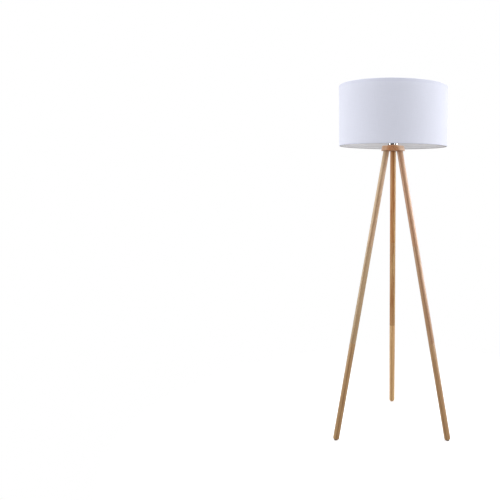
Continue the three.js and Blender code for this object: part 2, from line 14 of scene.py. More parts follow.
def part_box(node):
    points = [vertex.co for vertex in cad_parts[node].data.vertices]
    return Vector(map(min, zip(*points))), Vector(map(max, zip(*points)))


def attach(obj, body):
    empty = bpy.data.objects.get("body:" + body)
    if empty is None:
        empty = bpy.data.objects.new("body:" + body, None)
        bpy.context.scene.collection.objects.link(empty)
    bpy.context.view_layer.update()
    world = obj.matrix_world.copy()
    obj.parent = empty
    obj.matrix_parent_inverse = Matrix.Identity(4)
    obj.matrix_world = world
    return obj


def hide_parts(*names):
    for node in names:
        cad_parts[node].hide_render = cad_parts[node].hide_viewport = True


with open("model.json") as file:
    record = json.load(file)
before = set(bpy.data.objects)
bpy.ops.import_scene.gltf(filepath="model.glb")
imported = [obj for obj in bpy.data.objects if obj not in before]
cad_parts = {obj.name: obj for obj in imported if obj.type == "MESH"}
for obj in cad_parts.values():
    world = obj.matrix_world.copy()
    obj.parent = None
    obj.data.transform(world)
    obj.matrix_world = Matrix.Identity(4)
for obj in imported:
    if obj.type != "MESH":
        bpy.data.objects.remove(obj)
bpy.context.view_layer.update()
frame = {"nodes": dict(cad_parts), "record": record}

MM = 0.001
TAU = 2 * math.pi


# ---- places read from the frame ----


def box_centre(node):
    low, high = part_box(node)
    return (low + high) / 2


SHADE_LOW, SHADE_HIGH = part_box("shade_cover")
AXIS = Vector((*box_centre("shade_cover").xy, 0))
SHADE_RADIUS = (SHADE_HIGH.x - SHADE_LOW.x) / 2
SHADE_BOTTOM = SHADE_LOW.z
SHADE_TOP = SHADE_HIGH.z
HUB_BOTTOM, HUB_TOP = (corner.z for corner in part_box("hub"))
HUB_BOTTOM_RADIUS = (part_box("hub")[1].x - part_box("hub")[0].x) / 2
CUP_RADIUS = (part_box("lampholder_cup")[1].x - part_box("lampholder_cup")[0].x) / 2
CUP_BOTTOM, CUP_TOP = (corner.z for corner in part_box("lampholder_cup"))

SIDES = ("left", "right", "back")
SECTIONS = ("upper", "middle", "lower")


class LegAxis:
    """The line down the middle of one leg. The studs at its two seams are centred on it."""

    def __init__(self, side):
        upper, lower = (box_centre(f"stud_{side}_{level}") for level in ("upper", "lower"))
        self.pitch = (lower - upper).length
        self.up = (upper - lower).normalized()
        self.top = upper + self.up * self.pitch
        self.outward = Vector((-self.up.x, -self.up.y, 0)).normalized()

    def frame_at(self, distance):
        """A matrix whose origin lies that far down the leg, with Z up the leg and X outward."""
        across = self.up.cross(self.outward).normalized()
        out = across.cross(self.up).normalized()
        place = self.top - self.up * distance
        return Matrix.Translation(place) @ Matrix((out, across, self.up)).transposed().to_4x4()


# ---- sizes of the details ----

ROUND = 160                     # sides of the large turned pieces
FINE = 96                       # sides of the small ones
LEG_RADIUS = (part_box("leg_back_middle")[1].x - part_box("leg_back_middle")[0].x) / 2
LEG_EDGE = 1 * MM
FOOT_ROUND = 5.5 * MM
PAD_RADIUS = 6.5 * MM
PAD_THICKNESS = 3 * MM
SOCKET_DEPTH = 5 * MM
GAP = 0.3 * MM
SEAM = 0.12 * MM                # gap that shows at each seam of a leg

FABRIC = 0.8 * MM
LINER = 0.6 * MM
WIRE = 2 * MM
HEM_TOP = 12 * MM
HEM_BOTTOM = 6.5 * MM
HEM_TURN = 12 * MM
SEAM_LAP = 14 * MM              # overlap of the cloth down the back of the shade
THREAD = 0.45 * MM              # spacing of the threads in the cloth

E27_PITCH = 3.629 * MM
HOLDER_PITCH = 2.5 * MM
M8_PITCH = 1.25 * MM
M10_PITCH = 1 * MM


# ---- mesh helpers ----


def rounded(corners, steps=4, closed=True):
    """The outline through (radius, height, rounding) corners, each corner turned into an arc."""
    outline = []
    count = len(corners)
    for i, (radius, height, rounding) in enumerate(corners):
        here = Vector((radius, height))
        if rounding == 0 or (not closed and i in (0, count - 1)):
            outline.append(here)
            continue
        to_last = Vector(corners[i - 1][:2]) - here
        to_next = Vector(corners[(i + 1) % count][:2]) - here
        half = to_last.angle(to_next) / 2
        reach = min(rounding / math.tan(half), 0.49 * to_last.length, 0.49 * to_next.length)
        start = to_last.normalized() * reach
        end = to_next.normalized() * reach
        middle = (start + end).normalized() * (reach / math.cos(half))
        spoke, last_spoke = start - middle, end - middle
        sweep = spoke.angle(last_spoke)
        for k in range(steps + 1):
            share = k / steps
            mix = spoke * math.sin((1 - share) * sweep) + last_spoke * math.sin(share * sweep)
            outline.append(here + middle + mix / math.sin(sweep))
    return outline


def finish_mesh(name, vertices, faces, uvs, crease=35):
    mesh = bpy.data.meshes.new(name)
    mesh.from_pydata(vertices, [], faces)
    if uvs:
        layer = mesh.uv_layers.new(name="UVMap")
        for loop, uv in zip(layer.data, uvs):
            loop.uv = uv
    mesh.polygons.foreach_set("use_smooth", [True] * len(mesh.polygons))
    mesh.set_sharp_from_angle(angle=math.radians(crease))
    piece = bpy.data.objects.new(name, mesh)
    bpy.context.scene.collection.objects.link(piece)
    return piece


def turned(name, outline, sides=ROUND, closed=True, shape=None, crease=35):
    """A turned piece about its own Z. The outline is a list of (radius, height), closed on itself or else
    starting and ending on the axis. shape(angle, radius, height) may move each point."""
    points = [Vector(point[:2]) for point in outline]
    along = [0.0]
    for last, here in zip(points, points[1:] + points[:1]):
        along.append(along[-1] + (here - last).length)
    vertices, index = [], []
    for k in range(sides):
        angle = TAU * k / sides
        row = []
        for i, (radius, height) in enumerate(points):
            if radius < 1e-7 and k > 0:
                row.append(index[0][i])
                continue
            if shape:
                radius, height = shape(angle, radius, height)
            row.append(len(vertices))
            vertices.append((radius * math.cos(angle), radius * math.sin(angle), height))
        index.append(row)
    faces, uvs = [], []
    reach = max(point.x for point in points)
    last_span = len(points) if closed else len(points) - 1
    for k in range(sides):
        here, there = index[k], index[(k + 1) % sides]
        u0, u1 = TAU * k / sides * reach, TAU * (k + 1) / sides * reach
        for i in range(last_span):
            j = (i + 1) % len(points)
            loop = [(here[i], u0, along[i]), (there[i], u1, along[i]),
                    (there[j], u1, along[i + 1]), (here[j], u0, along[i + 1])]
            corners = []
            for corner in loop:
                if corner[0] not in [kept[0] for kept in corners]:
                    corners.append(corner)
            faces.append([corner[0] for corner in corners])
            uvs.extend(corner[1:] for corner in corners)
    return finish_mesh(name, vertices, faces, uvs, crease)


def helix(low, high, pitch, depth, fade=1.0 * MM):
    """A shape for turned(): a rounded screw thread between two heights."""
    def shape(angle, radius, height):
        inside = min(1, max(0, (height - low) / fade), max(0, (high - height) / fade))
        wave = math.sin(TAU * height / pitch - angle)
        return radius + depth * inside * wave, height
    return shape


def stretch(low, high, step):
    """Heights from low to high, about a step apart."""
    count = max(2, round(abs(high - low) / step))
    return [low + (high - low) * k / count for k in range(count + 1)]


def tube(name, path, radius, sides=20):
    """A round rod along a list of points, with its ends rounded over."""
    vertices, faces = [], []
    count = len(path)
    tangents = [(path[min(i + 1, count - 1)] - path[max(i - 1, 0)]).normalized() for i in range(count)]
    over, narrowed = 0.3 * radius, 0.7 * radius
    rings = [(path[0] - tangents[0] * over, tangents[0], narrowed), *zip(path, tangents, [radius] * count),
             (path[-1] + tangents[-1] * over, tangents[-1], narrowed)]
    side = tangents[0].orthogonal().normalized()
    for centre, tangent, size in rings:
        side = (side - tangent * side.dot(tangent)).normalized()
        across = tangent.cross(side)
        for k in range(sides):
            angle = TAU * k / sides
            vertices.append(centre + (side * math.cos(angle) + across * math.sin(angle)) * size)
    last = len(rings) - 1
    for i in range(last):
        for k in range(sides):
            j = (k + 1) % sides
            faces.append([i * sides + k, i * sides + j, (i + 1) * sides + j, (i + 1) * sides + k])
    faces.append(list(range(sides))[::-1])
    faces.append([last * sides + k for k in range(sides)])
    return finish_mesh(name, vertices, faces, None)


def cut(piece, tools, crease=30):
    """Cuts the tools out of a piece and throws them away."""
    for tool in tools:
        step = piece.modifiers.new("cut", "BOOLEAN")
        step.operation = "DIFFERENCE"
        step.solver = "EXACT"
        step.object = tool
    bpy.context.view_layer.update()
    graph = bpy.context.evaluated_depsgraph_get()
    mesh = bpy.data.meshes.new_from_object(piece.evaluated_get(graph))
    piece.modifiers.clear()
    piece.data = mesh
    mesh.set_sharp_from_angle(angle=math.radians(crease))
    for tool in tools:
        bpy.data.objects.remove(tool)


def fit(piece, material, body, slot, *nodes):
    """Gives a piece its material and body, and hides the plain nodes that it stands for. slot is not used."""
    piece.data.materials.clear()
    piece.data.materials.append(material)
    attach(piece, body)
    if nodes:
        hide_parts(*nodes)
    return piece


def on_axis(piece):
    piece.location = AXIS
    return piece


# ---- material helpers ----


class Look:
    """A material with a Principled shader and short ways to add nodes to it."""

    def __init__(self, name, color, roughness, **sockets):
        self.material = bpy.data.materials.new(name)
        self.material.use_nodes = True
        self.tree = self.material.node_tree
        self.shader = self.tree.nodes["Principled BSDF"]
        self.set(self.shader, {"Base Color": (*color, 1), "Roughness": roughness, **sockets})
        self.material.diffuse_color = (*color, 1)

    def set(self, node, sockets):
        for key, value in sockets.items():
            if isinstance(value, bpy.types.NodeSocket):
                self.tree.links.new(value, node.inputs[key])
            else:
                node.inputs[key].default_value = value

    def node(self, kind, sockets=None, **attributes):
        node = self.tree.nodes.new(kind)
        for key, value in attributes.items():
            setattr(node, key, value)
        self.set(node, sockets or {})
        return node

    def place(self, source="Object", scale=(1, 1, 1), shift=(0, 0, 0), turn=(0, 0, 0)):
        coords = self.node("ShaderNodeTexCoord").outputs[source]
        sockets = {"Vector": coords, "Location": shift, "Rotation": turn, "Scale": scale}
        return self.node("ShaderNodeMapping", sockets).outputs["Vector"]

    def noise(self, vector, scale, detail=2.0, roughness=0.5):
        sockets = {"Vector": vector, "Scale": scale, "Detail": detail, "Roughness": roughness}
        return self.node("ShaderNodeTexNoise", sockets).outputs["Fac"]

    def math(self, operation, first, second=0.0):
        return self.node("ShaderNodeMath", {0: first, 1: second}, operation=operation).outputs[0]

    def spread(self, value, low, high, out_low=0.0, out_high=1.0):
        sockets = {"Value": value, "From Min": low, "From Max": high, "To Min": out_low, "To Max": out_high}
        return self.node("ShaderNodeMapRange", sockets).outputs["Result"]

    def mix(self, share, first, second):
        node = self.node("ShaderNodeMix", data_type="RGBA")
        for socket, value in ((node.inputs[0], share), (node.inputs[6], first), (node.inputs[7], second)):
            if isinstance(value, bpy.types.NodeSocket):
                self.tree.links.new(value, socket)
            else:
                socket.default_value = value if isinstance(value, float) else (*value, 1)
        return node.outputs[2]

    def bump(self, height, distance, strength=1.0, normal=None):
        sockets = {"Height": height, "Distance": distance, "Strength": strength}
        if normal:
            sockets["Normal"] = normal
        return self.node("ShaderNodeBump", sockets).outputs["Normal"]

    def drive(self, **sockets):
        names = {"color": "Base Color", "roughness": "Roughness", "normal": "Normal"}
        self.set(self.shader, {names[key]: value for key, value in sockets.items()})
        return self.material


DEEPER = (0.78, 0.66, 0.56)     # tone of the year rings and streaks, as shares of the heartwood's
DARKEST = (0.58, 0.40, 0.32)    # tone of the flecks and of the line beside the sapwood


def wood(name, tones, seed, turn, pith, heart, gloss=0.5, painted_hub_shadow=None, flank_and_sheen=None):
    """Lacquered wood. Turned by turn, the piece's own axes have their Z along the grain; pith is the shift
    from there to the middle of the tree. Sapwood meets heartwood, the second and the first of the tones, at
    the distance heart from the pith, along a darker streak. soaked is a plane (x, z, height) above which the
    wood is painted darker, a painted shadow under the hub. flank gives the tones, from left to right, of the
    long grain on a piece cut across; these sides are painted paler, partly their own paler long grain and
    partly a painted sheen, strongest on the right."""
    heartwood, sapwood = tones
    deep = tuple(factor * part for factor, part in zip(DEEPER, heartwood))
    dark = tuple(factor * part for factor, part in zip(DARKEST, heartwood))
    pale = tuple(min(1, 1.12 * part) for part in sapwood)
    look = Look(name, heartwood, 0.4, **{"Coat Weight": 0.6 * gloss, "Coat Roughness": 0.28,
                                         "Specular IOR Level": gloss})
    grain = look.place(turn=turn)

    def along(across, length, detail, roughness=0.5, shift=0):
        stretched = look.node("ShaderNodeMapping", {"Vector": grain, "Scale": (across, across, length),
                                                    "Location": (seed + shift, 2 * seed, seed)})
        return look.noise(stretched.outputs["Vector"], 1.0, detail, roughness)

    bend = look.math("SUBTRACT", along(9, 2.4, 2.0), 0.5)
    wobble = look.math("SUBTRACT", along(45, 11, 3.0, 0.6, shift=3), 0.5)
    x, y, _ = look.node("ShaderNodeSeparateXYZ", {"Vector": look.place(shift=pith, turn=turn)}).outputs
    flat = look.node("ShaderNodeCombineXYZ", {"X": x, "Y": y}).outputs["Vector"]
    radius = look.node("ShaderNodeVectorMath", {0: flat}, operation="LENGTH").outputs["Value"]
    ring = look.math("ADD", radius, look.math("MULTIPLY", bend, 14 * MM))
    ring = look.math("ADD", ring, look.math("MULTIPLY", wobble, 6 * MM))
    years = look.node("ShaderNodeTexNoise", {"W": ring, "Scale": 230.0, "Detail": 3.0, "Roughness": 0.6},
                      noise_dimensions="1D").outputs["Fac"]
    streaks = along(170, 7, 4.0, 0.65)
    fibres = along(900, 22, 2.0, 0.6)
    flecks = along(480, 100, 2.0, 0.7, shift=7)
    beside = look.math("ABSOLUTE", look.math("SUBTRACT", ring, heart))
    close = look.spread(beside, 0.5 * MM, 2.8 * MM, 1.0, 0.0)
    streak = look.math("MULTIPLY", close, look.spread(streaks, 0.36, 0.50))
    color = look.mix(look.spread(ring, heart - 1.5 * MM, heart + 1.5 * MM), heartwood, sapwood)
    color = look.mix(look.spread(years, 0.48, 0.66, 0.0, 0.6), color, deep)
    color = look.mix(look.spread(years, 0.44, 0.32, 0.0, 0.35), color, pale)
    color = look.mix(look.math("MULTIPLY", streak, 0.9), color, dark)
    color = look.mix(look.spread(streaks, 0.52, 0.62, 0.0, 0.9), color, deep)
    color = look.mix(look.spread(streaks, 0.48, 0.38, 0.0, 0.5), color, pale)
    # Painted sheen: the long grain at the sides is mixed paler, partly its own paler tone and partly a
    # painted highlight, strongest to the right.
    if flank_and_sheen:
        across, depth, _ = look.node("ShaderNodeSeparateXYZ", {"Vector": look.place()}).outputs
        long_grain_and_sheen = look.spread(look.math("ABSOLUTE", depth), 45 * MM, 37 * MM, 0.0, 0.8)
        color = look.mix(long_grain_and_sheen, color, look.mix(look.spread(across, -12 * MM, 26 * MM), *flank_and_sheen))
    color = look.mix(look.spread(fibres, 0.40, 0.66, 0.0, 0.5), color, deep)
    near_heart = look.spread(beside, 1 * MM, 5 * MM, 1.0, 0.25)
    dashes = look.math("MULTIPLY", look.spread(flecks, 0.54, 0.64), near_heart)
    color = look.mix(look.math("MULTIPLY", dashes, 0.65), color, dark)
    # Painted shadow: the leg is darkened just below the hub, where the hub shades it.
    if painted_hub_shadow:
        near_hub = look.node("ShaderNodeVectorMath", {0: look.place(), 1: (painted_hub_shadow[0], 0, painted_hub_shadow[1])},
                             operation="DOT_PRODUCT").outputs["Value"]
        darker = look.spread(near_hub, painted_hub_shadow[2] - 0.6 * MM, painted_hub_shadow[2] + 0.2 * MM, 0.0, 0.85)
        color = look.mix(darker, color, tuple(0.5 * c for c in dark))
    relief = look.math("SUBTRACT", fibres, dashes)
    return look.drive(
        color=color,
        roughness=look.spread(fibres, 0.3, 0.7, 0.34, 0.48),
        normal=look.bump(relief, 0.03 * MM, 0.6),
    )


def cloth(name, color):
    """Plain-woven linen cloth. UVs are metres along and across the cloth. The hems, where the cloth lies
    double over the wires, let less light through and look a little darker."""
    sheen = {"Sheen Weight": 0.12, "Sheen Roughness": 0.4, "Specular IOR Level": 0.2}
    look = Look(name, color, 0.92, **sheen)
    u, v, _ = look.node("ShaderNodeSeparateXYZ", {"Vector": look.place("UV")}).outputs
    turns = math.pi / THREAD
    warp = look.math("SINE", look.math("MULTIPLY", u, turns))
    weft = look.math("SINE", look.math("MULTIPLY", v, turns))
    weave = look.math("MULTIPLY", warp, weft)
    along = look.noise(look.place("UV", scale=(24, 1300, 1)), 1.0, 3.0, 0.6)
    down = look.noise(look.place("UV", scale=(1300, 20, 1), shift=(5, 9, 0)), 1.0, 3.0, 0.6)
    slubs = look.math("MULTIPLY", look.math("ADD", along, down), 0.5)
    cloud = look.noise(look.place("UV", scale=(9, 7, 1)), 1.0, 2.0)
    tone = look.mix(look.spread(slubs, 0.38, 0.62), tuple(0.94 * c for c in color), color)
    tone = look.mix(look.spread(weave, -1, 1, 0.0, 0.07), tone, tuple(0.8 * c for c in color))
    tone = look.mix(look.spread(cloud, 0.3, 0.7, 0.0, 0.04), tone, (0.68, 0.70, 0.86))
    _, _, height = look.node("ShaderNodeSeparateXYZ", {"Vector": look.place()}).outputs
    top_hem = look.spread(height, SHADE_TOP - HEM_TOP - 1.5 * MM, SHADE_TOP - HEM_TOP)
    low_hem = look.spread(height, SHADE_BOTTOM + HEM_BOTTOM, SHADE_BOTTOM + HEM_BOTTOM - 1 * MM)
    doubled = (0.50, 0.52, 0.74)
    tone = look.mix(look.math("MULTIPLY", top_hem, 0.09), tone, doubled)
    tone = look.mix(look.math("MULTIPLY", low_hem, 0.07), tone, doubled)
    flat = look.node("ShaderNodeVectorMath", {0: look.place(), 1: (1, 1, 0)}, operation="MULTIPLY")
    distance = look.node("ShaderNodeVectorMath", {0: flat.outputs["Vector"]}, operation="LENGTH")
    radius = distance.outputs["Value"]
    turned_in = look.spread(radius, SHADE_RADIUS - 1.6 * MM, SHADE_RADIUS - 2.6 * MM)
    tone = look.mix(turned_in, tone, (0.70, 0.70, 0.72))
    # Painted shade: the bottom edge of the turned-in hem is painted dark, where the rim's underside lies in
    # shadow.
    edge = look.spread(height, SHADE_BOTTOM + 1.4 * MM, SHADE_BOTTOM + 0.5 * MM, 0.0, 0.8)
    tone = look.mix(look.math("MULTIPLY", turned_in, edge), tone, (0.30, 0.30, 0.32))
    fine = look.bump(weave, 0.06 * MM, 0.8)
    return look.drive(color=tone, normal=look.bump(slubs, 0.12 * MM, 0.7, fine))


def plastic(name, color, roughness, grain=0.01):
    """Moulded plastic with a fine even grain and faint clouding."""
    look = Look(name, color, roughness)
    place = look.place()
    cloud = look.noise(place, 45, 2.0)
    grit = look.noise(place, 2600, 1.0)
    return look.drive(
        color=look.mix(look.spread(cloud, 0.3, 0.7, 0.0, 0.25), color, tuple(0.9 * c for c in color)),
        roughness=look.spread(cloud, 0.3, 0.7, roughness - 0.04, roughness + 0.06),
        normal=look.bump(grit, grain * MM, 0.5),
    )


def metal(name, color, roughness, brushed=False):
    """Metal with faint wear; brushed metal has fine lines round the piece's own Z."""
    look = Look(name, color, roughness, **{"Metallic": 1.0, "Specular Tint": (0.06, 0.06, 0.06, 1)})
    cloud = look.noise(look.place(), 60, 3.0)
    lines = look.noise(look.place(scale=(40, 40, 4000) if brushed else (700, 700, 700)), 1.0, 2.0)
    return look.drive(
        color=look.mix(look.spread(cloud, 0.35, 0.65, 0.0, 0.5), color, tuple(0.86 * c for c in color)),
        roughness=look.spread(cloud, 0.3, 0.7, 0.75 * roughness, 1.3 * roughness),
        normal=look.bump(lines, 0.01 * MM, 0.4 if brushed else 0.12),
    )


def threaded_metal(name, color, roughness, pitch):
    """Screw threads as a fine helix of bumps round the piece's own Z, with painted shade in the roots of the
    threads.
    """
    look = Look(name, color, roughness, Metallic=1.0)
    cloud = look.noise(look.place(), 80, 2.0)
    _, _, z = look.node("ShaderNodeSeparateXYZ", {"Vector": look.place()}).outputs
    wave = look.math("SINE", look.math("MULTIPLY", z, TAU / pitch))
    return look.drive(
        # Painted shade: the colour is darkened in the roots of the threads.
        color=look.mix(look.spread(wave, -1, 1, 0.0, 0.45), tuple(0.6 * c for c in color), color),
        roughness=look.spread(cloud, 0.3, 0.7, roughness, 1.4 * roughness),
        normal=look.bump(wave, 0.4 * MM, 0.8),
    )


# Heartwood, sapwood, and how far right of the rod's middle they meet, seen from the front.
LEG_WOODS = {
    "leg_left_upper": ((0.66, 0.495, 0.310), (0.62, 0.400, 0.245), 0.5 * MM),
    "leg_left_middle": ((0.55, 0.415, 0.250), (0.54, 0.375, 0.215), -3 * MM),
    "leg_left_lower": ((0.51, 0.330, 0.165), (0.51, 0.315, 0.150), 2 * MM),
    "leg_right_upper": ((0.63, 0.360, 0.205), (0.60, 0.355, 0.200), -1.5 * MM),
    "leg_right_middle": ((0.55, 0.335, 0.185), (0.53, 0.315, 0.170), 1 * MM),
    "leg_right_lower": ((0.54, 0.335, 0.165), (0.52, 0.315, 0.150), -4 * MM),
    "leg_back_upper": ((0.60, 0.295, 0.122), (0.68, 0.470, 0.212), 4.5 * MM),
    "leg_back_middle": ((0.565, 0.310, 0.142), (0.65, 0.460, 0.225), 4 * MM),
    "leg_back_lower": ((0.77, 0.520, 0.275), (0.75, 0.500, 0.250), -2 * MM),
}
LEG_GLOSS = {"left": 0.42, "right": 0.68, "back": 0.14}
HUB_WOOD = ((0.53, 0.218, 0.076), (0.62, 0.320, 0.125))
# Tones of the hub's long grain at its left and right sides; the paler right one is a painted sheen.
HUB_FLANK_AND_SHEEN = ((0.70, 0.450, 0.280), (0.88, 0.650, 0.480))
ZINC_TONE = (0.62, 0.63, 0.65)
SLOT_OF = {part["node"]: part["material_slot"] for part in frame["record"]["subparts"]}

CLOTH = cloth("white_linen", (0.83, 0.85, 0.97))
LINING = plastic("styrene_lining", (0.79, 0.79, 0.81), 0.5)
ENAMEL = plastic("white_enamel", (0.84, 0.84, 0.82), 0.32)
NICKEL = metal("polished_nickel", (0.70, 0.68, 0.655), 0.1)
ZINC = metal("zinc_plate", ZINC_TONE, 0.32, brushed=True)
ZINC_THREAD = threaded_metal("zinc_thread", ZINC_TONE, 0.34, M8_PITCH)
BRASS = metal("brass", (0.78, 0.58, 0.26), 0.26)
CAP_METAL = metal("cap_metal", (0.74, 0.74, 0.74), 0.2)
CERAMIC = plastic("steatite", (0.83, 0.81, 0.76), 0.5)
WHITE_PLASTIC = plastic("white_plastic", (0.85, 0.85, 0.83), 0.36)
BLACK_PLASTIC = plastic("black_plastic", (0.022, 0.022, 0.024), 0.4)
OPAL = plastic("opal_diffuser", (0.90, 0.90, 0.87), 0.28)
RUBBER = plastic("foot_rubber", (0.13, 0.12, 0.105), 0.8, grain=0.05)

PLAIN_LOOKS = {
    "zinc_steel": ZINC, "brass": BRASS, "ceramic": CERAMIC, "white_plastic": WHITE_PLASTIC,
    "black_plastic": BLACK_PLASTIC, "cap_metal": CAP_METAL, "white_wire": ENAMEL,
}


# ---- legs ----


def leg_section(side, section, axis, number):
    """One turned rod about its own Z, with the grain along it and the tree's pith off to its left."""
    is_top, is_foot = section == "upper", section == "lower"
    start = -SOCKET_DEPTH if is_top else number * axis.pitch + SEAM / 2
    end = (number + 1) * axis.pitch - (PAD_THICKNESS + GAP if is_foot else SEAM / 2)
    middle = (start + end) / 2
    top, bottom = middle - start, middle - end
    foot = FOOT_ROUND if is_foot else LEG_EDGE
    corners = [(0, bottom, 0), (LEG_RADIUS, bottom, foot), (LEG_RADIUS, top, LEG_EDGE), (0, top, 0)]
    rod = turned(f"{side}_leg_{section}", rounded(corners, 6, closed=False), 48, closed=False)
    rod.matrix_world = axis.frame_at(middle)
    node = f"leg_{side}_{section}"
    slot = SLOT_OF[node]
    seed = 1 + 3 * SIDES.index(side) + number
    *tones, heart = LEG_WOODS[node]
    facing = (0, 0, math.atan2(axis.outward.y, axis.outward.x))
    pith = 55 * MM
    lean, _, rise = rod.matrix_world.to_3x3()[2]
    # The plane above which the top of the leg is painted dark, a painted shadow under the hub.
    painted_hub_shadow = (lean, rise, HUB_BOTTOM - 1.6 * MM - rod.location.z) if is_top else None
    look = wood(f"{slot}_{side}_{section}", tones, seed, facing, (pith, 0, 0), pith + heart, LEG_GLOSS[side],
                painted_hub_shadow)
    return fit(rod, look, "stand", slot, node)


def foot_pad(side, axis):
    """A rubber disc across the end of the leg, cut level with the floor."""
    edge = 0.5 * MM
    corners = [(0, -PAD_THICKNESS, 0), (PAD_RADIUS, -PAD_THICKNESS, edge), (PAD_RADIUS, 0, edge), (0, 0, 0)]
    pad = turned(f"{side}_foot_pad", rounded(corners, 3, closed=False), 48, closed=False)
    pad.matrix_world = axis.frame_at(3 * axis.pitch - PAD_THICKNESS)
    slope = axis.up.xy.length / axis.up.z
    for vertex in pad.data.vertices:
        if vertex.co.z < -PAD_THICKNESS / 2:
            vertex.co.z -= vertex.co.x * slope
    return fit(pad, RUBBER, "stand", "foot_rubber", f"foot_pad_{side}")


# ---- hub and what is clamped in it ----


def hub(axes):
    edge, crown = 0.8 * MM, 2.4 * MM
    top_radius = HUB_BOTTOM_RADIUS - 4 * MM
    bore, recess, depth = 5.4 * MM, 12.4 * MM, 13 * MM
    corners = [
        (recess, HUB_BOTTOM, edge), (HUB_BOTTOM_RADIUS, HUB_BOTTOM, edge), (top_radius, HUB_TOP, crown),
        (bore, HUB_TOP, 0), (bore, HUB_BOTTOM + depth, 0), (recess, HUB_BOTTOM + depth, 0),
    ]
    disc = on_axis(turned("round_hub", rounded(corners, 6), ROUND))
    tools = []
    for axis in axes.values():
        radius, reach = LEG_RADIUS + 0.2 * MM, 3 * SOCKET_DEPTH
        corners = [(0, -reach), (radius, -reach), (radius, SOCKET_DEPTH + GAP), (0, SOCKET_DEPTH + GAP)]
        tool = turned("socket", corners, 64, closed=False)
        tool.matrix_world = axis.frame_at(0)
        tools.append(tool)
    cut(disc, tools)
    end_grain_in_front = (math.pi / 2, 0, 0)
    middle = (HUB_BOTTOM + HUB_TOP) / 2
    pith, seed = 40 * MM, 11
    look = wood("warm_wood_hub", HUB_WOOD, seed, end_grain_in_front, (pith, middle - pith, 0), 1.5 * pith,
                flank_and_sheen=HUB_FLANK_AND_SHEEN)
    return fit(disc, look, "stand", "warm_wood", "hub")


def nipple():
    low, high = (corner.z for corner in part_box("nipple"))
    radius, bore, edge = 5 * MM, 3.5 * MM, 0.5 * MM
    outline = [(bore, low), (radius - edge, low)]
    outline += [(radius, height) for height in stretch(low + edge, high - edge, 0.2 * MM)]
    outline += [(radius - edge, high), (bore, high)]
    depth, middle = 0.12 * MM, 4.2 * MM
    thread = helix(low, high, M10_PITCH, depth, 0.5 * MM)

    def shape(angle, distance, height):
        return thread(angle, distance - depth, height) if distance > middle else (distance, height)
    pipe = turned("hollow_nipple", outline, 48, shape=shape)
    return fit(on_axis(pipe), ZINC, "stand", "zinc_steel", "nipple")


def washer():
    low, high = (corner.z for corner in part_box("nipple_washer"))
    edge = 0.35 * MM
    corners = [(5.4 * MM, low, edge), (11.5 * MM, low, edge), (11.5 * MM, high, edge), (5.4 * MM, high, edge)]
    ring = turned("flat_washer", rounded(corners), FINE)
    return fit(on_axis(ring), ZINC, "stand", "zinc_steel", "nipple_washer")


def hex_nut():
    """A hexagon whose corners are turned off at both faces."""
    low, high = (corner.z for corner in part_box("nipple_nut"))
    flats, corner_reach, bore, chamfer = 7.2 * MM, 8.4 * MM, 5.4 * MM, 1.1 * MM
    outline = [(bore, low), (flats - 0.4 * MM, low), (corner_reach, low + chamfer),
               (corner_reach, high - chamfer), (flats - 0.4 * MM, high), (bore, high)]

    def shape(angle, radius, height):
        wedge = (angle + math.pi / 6) % (math.pi / 3) - math.pi / 6
        return min(radius, flats / math.cos(wedge)), height
    nut = turned("hex_nut", outline, FINE, shape=shape, crease=20)
    return fit(on_axis(nut), ZINC, "stand", "zinc_steel", "nipple_nut")


def bush():
    """A flexible bush on the end of the nipple, fluted for the fingers."""
    low, high = (corner.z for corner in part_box("cord_bush"))
    radius, bore, way, lip = 8 * MM, 5.4 * MM, 3.5 * MM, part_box("nipple")[0].z - GAP
    corners = [(way, low, 1.2 * MM), (radius, low, 1.4 * MM), (radius, high, 0.3 * MM), (bore, high, 0),
               (bore, lip, 0), (way, lip, 0)]

    def grip(angle, outer, height):
        is_wall = outer > radius - 0.1 * MM and low + 1.3 * MM < height < high - 0.3 * MM
        return outer - (0.25 * MM * (0.5 + 0.5 * math.cos(16 * angle)) if is_wall else 0), height
    piece = turned("flex_bush", rounded(corners, 5), 128, shape=grip)
    return fit(on_axis(piece), BLACK_PLASTIC, "stand", "black_plastic", "cord_bush")


# ---- lampholder ----


def cup():
    """A spun metal cup that tapers in to its foot, with a rolled rim."""
    wall, foot_radius, taper = 1.1 * MM, CUP_RADIUS - 0.8 * MM, CUP_BOTTOM + 9.7 * MM
    inner, foot_inner, floor_top = CUP_RADIUS - wall, foot_radius - wall, CUP_BOTTOM + wall
    corners = [
        (5.4 * MM, CUP_BOTTOM, 0), (foot_radius, CUP_BOTTOM, 3.4 * MM), (CUP_RADIUS, taper, 6 * MM),
        (CUP_RADIUS, CUP_TOP, 0.45 * MM), (inner, CUP_TOP, 0.45 * MM), (inner, taper, 6 * MM),
        (foot_inner, floor_top, 2.4 * MM), (5.4 * MM, floor_top, 0),
    ]
    return fit(on_axis(turned("holder_cup", rounded(corners, 8), ROUND)), NICKEL, "stand", "polished_nickel",
               "lampholder_cup")


def holder_body():
    low, high = (corner.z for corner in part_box("lampholder_body"))
    skirt, thread, mouth, bore, core = 19 * MM, 19.25 * MM, 16.2 * MM, 14.4 * MM, 17.2 * MM
    start = high - 15 * MM
    outline = [(core, low), (skirt, low), (skirt, start - 1 * MM)]
    outline += [(thread, height) for height in stretch(start, high - 1.5 * MM, 0.3 * MM)]
    outline += [(thread - 0.4 * MM, high - 0.4 * MM), (thread - 1.2 * MM, high), (mouth + 0.5 * MM, high)]
    outline += [(mouth, high - 0.5 * MM), (mouth, high - 8.5 * MM), (bore, high - 8.5 * MM)]
    outline += [(bore, low + 9 * MM), (core, low + 8.2 * MM)]
    spiral = helix(start, high - 1.5 * MM, HOLDER_PITCH, 0.3 * MM)

    def shape(angle, radius, height):
        return spiral(angle, radius, height) if radius > skirt else (radius, height)
    body = turned("holder_body", outline, FINE, shape=shape)
    return fit(on_axis(body), WHITE_PLASTIC, "stand", "white_plastic", "lampholder_body")


